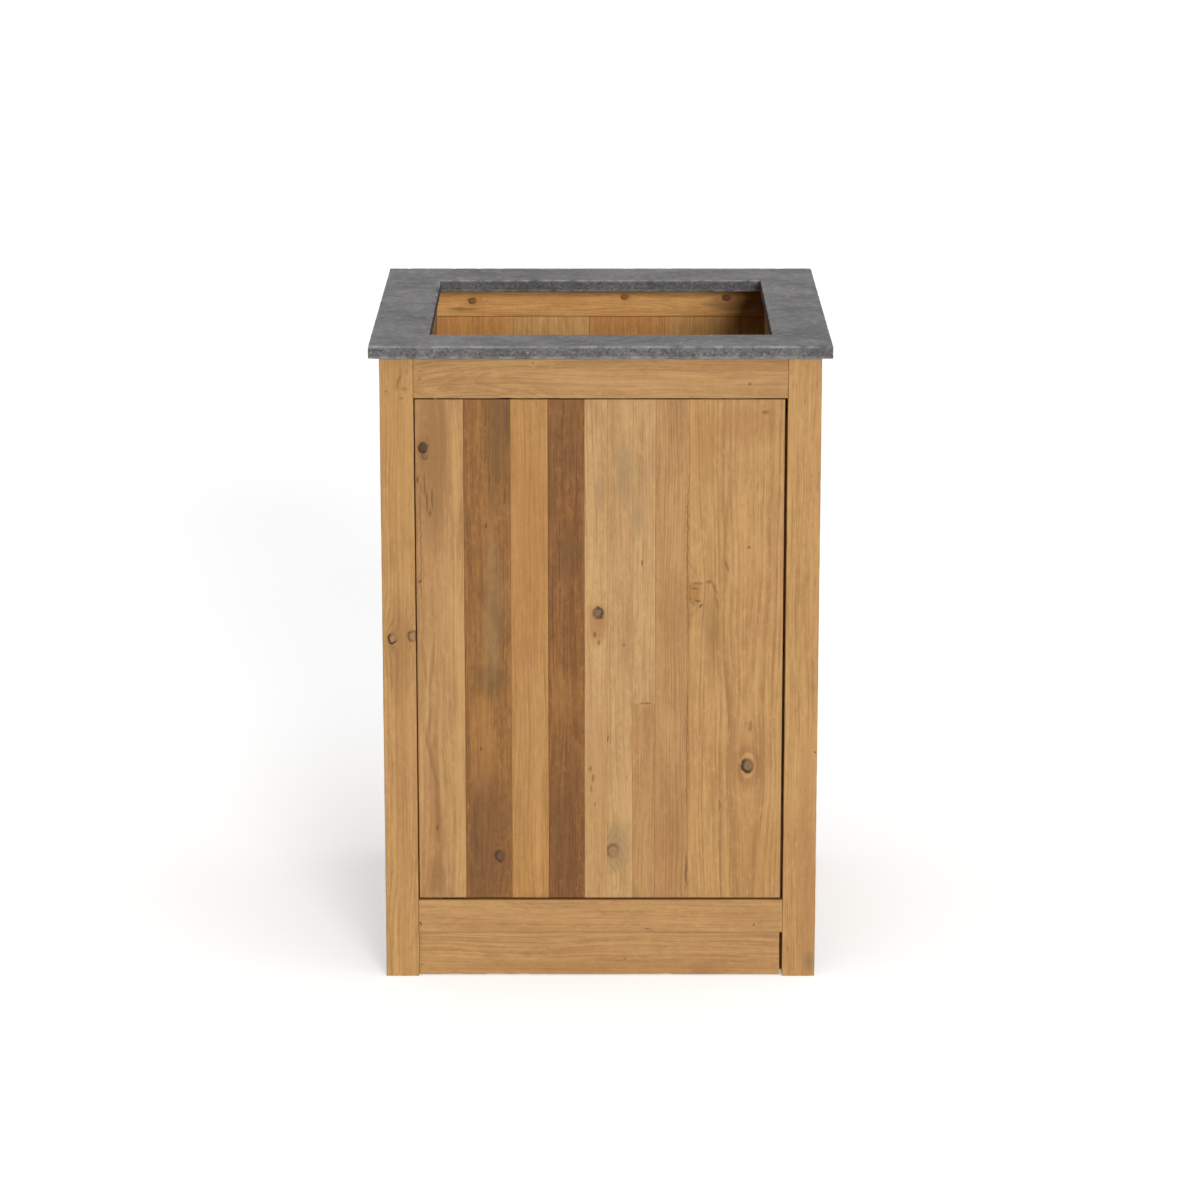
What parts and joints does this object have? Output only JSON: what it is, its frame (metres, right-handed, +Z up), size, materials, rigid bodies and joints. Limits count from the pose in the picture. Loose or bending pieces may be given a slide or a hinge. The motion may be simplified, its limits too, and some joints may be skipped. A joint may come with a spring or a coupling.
{
  "type": "kitchen sink base cabinet",
  "caption": "Free-standing kitchen sink base of reclaimed pine with a plank door on hidden pivots, a recessed plinth and a stone worktop with a rectangular sink cut-out.",
  "frame": {"origin": "on the floor under the middle of the cabinet", "axes": "+X to the right seen from the front, +Y to the back, +Z up"},
  "size_m": [0.628, 0.628, 0.9],
  "materials": {
    "stone_top": "honed",
    "pine_frame": "worn, waxed",
    "pine_door": "worn, waxed",
    "pine_dark": "worn, waxed",
    "pine_panel": "worn, waxed",
    "pine_inner": "plain sawn",
    "hinge_brass": "satin",
    "screw_steel": "zinc plated",
    "latch_steel": "plated",
    "latch_plastic": "moulded"
  },
  "bodies": {
    "cabinet": {"bearer_screws": "screw_steel", "bottom_hinge_frame_leaf": "hinge_brass", "floor_board_1": "pine_inner", "floor_board_2": "pine_inner", "floor_board_3": "pine_inner", "floor_board_4": "pine_inner", "frame_fine_screws": "screw_steel", "front_bottom_rail": "pine_frame", "front_left_post": "pine_frame", "front_right_post": "pine_frame", "front_top_rail": "pine_frame", "hinge_washers": "hinge_brass", "latch_housing": "latch_plastic", "left_board_1": "pine_panel", "left_board_2": "pine_panel", "left_board_3": "pine_panel", "left_board_4": "pine_panel", "left_bottom_rail": "pine_frame", "left_floor_bearer": "pine_inner", "left_top_rail": "pine_frame", "left_worktop_bearer": "pine_inner", "plinth_blocks": "pine_inner", "plinth_board": "pine_frame", "rear_board_1": "pine_panel", "rear_board_2": "pine_panel", "rear_board_3": "pine_panel", "rear_board_4": "pine_panel", "rear_board_5": "pine_panel", "rear_bottom_rail": "pine_frame", "rear_left_post": "pine_frame", "rear_right_post": "pine_frame", "rear_top_rail": "pine_frame", "right_board_1": "pine_panel", "right_board_2": "pine_panel", "right_board_3": "pine_panel", "right_board_4": "pine_panel", "right_bottom_rail": "pine_frame", "right_floor_bearer": "pine_inner", "right_top_rail": "pine_frame", "right_worktop_bearer": "pine_inner", "top_hinge_frame_leaf": "hinge_brass", "worktop": "stone_top"},
    "door": {"bottom_hinge_door_leaf": "hinge_brass", "door_board_1": "pine_door", "door_board_2": "pine_dark", "door_board_3": "pine_door", "door_board_4": "pine_dark", "door_board_5": "pine_door", "door_board_6": "pine_door", "door_board_7_lower": "pine_door", "door_board_7_upper": "pine_door", "door_board_8": "pine_door", "door_board_9": "pine_door", "door_fine_screws": "screw_steel", "latch_strike_plate": "latch_steel", "ledge_screws": "screw_steel", "lower_door_ledge": "pine_inner", "top_hinge_door_leaf": "hinge_brass", "upper_door_ledge": "pine_inner"},
    "latch_plunger": {"latch_plunger": "latch_steel"}
  },
  "joints": [
    {"name": "door_swing", "type": "hinge", "parent": "cabinet", "child": "door", "pos_m": [-0.2245, -0.288, 0.4685], "axis": [0, 0, -1], "range_deg": [0, 110]},
    {"name": "latch_press", "type": "slide", "parent": "cabinet", "child": "latch_plunger", "axis": [0, 1, 0], "range_m": [0, 0.003], "stiffness_N_per_m": 400, "springref_m": -0.01}
  ]
}
